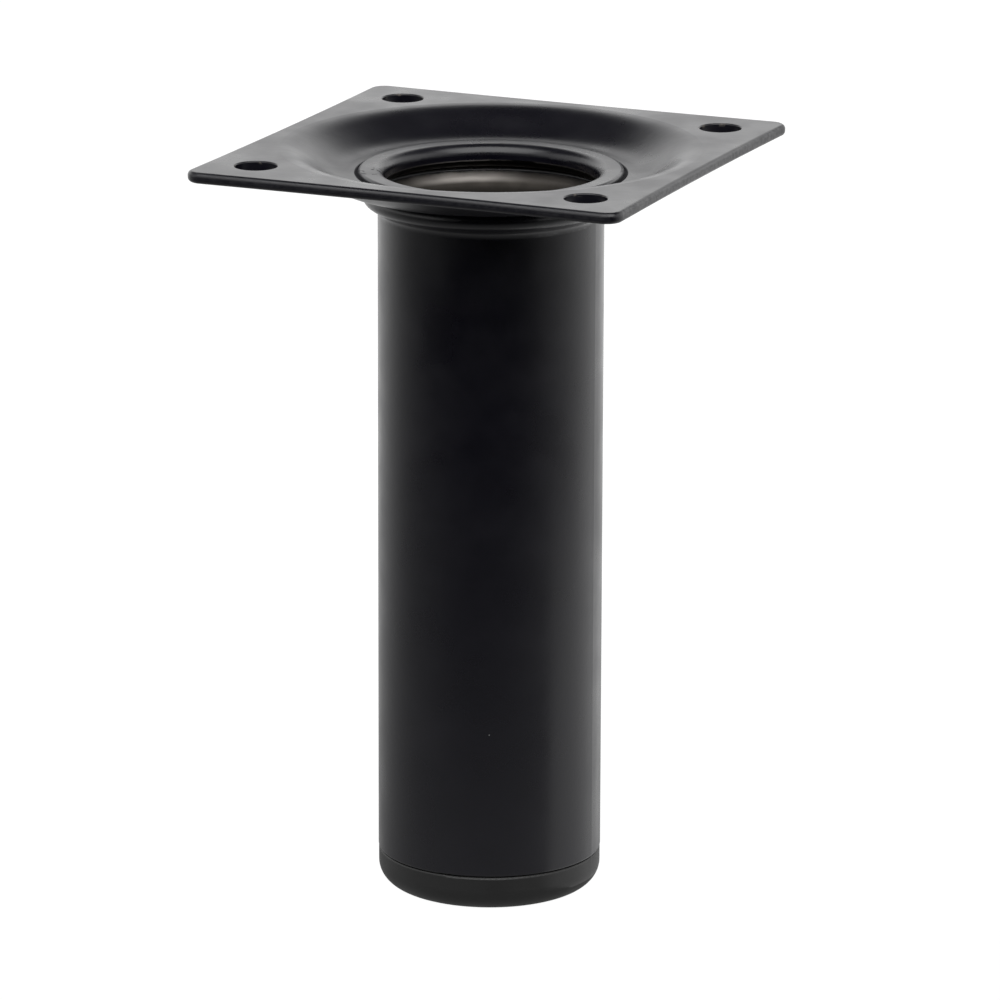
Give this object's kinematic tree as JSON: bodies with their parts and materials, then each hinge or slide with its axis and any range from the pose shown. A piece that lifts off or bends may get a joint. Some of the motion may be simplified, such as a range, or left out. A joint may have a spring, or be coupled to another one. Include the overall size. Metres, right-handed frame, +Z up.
{
  "type": "furniture leg",
  "caption": "Short round furniture leg: a black steel tube rolled onto a square, dished screw-on plate, with a rounded push-in plastic foot.",
  "frame": {"origin": "middle of the underside of the foot, on the floor", "axes": "+Z up along the tube towards the plate, +X and +Y along the plate's edges"},
  "size_m": [0.0608, 0.0608, 0.1015],
  "materials": {
    "satin_black_paint": "satin powder coat",
    "black_plastic": "matte moulded"
  },
  "bodies": {
    "root": {"mounting_plate": "satin_black_paint", "leg_tube": "satin_black_paint", "foot_cap": "black_plastic"}
  },
  "joints": []
}
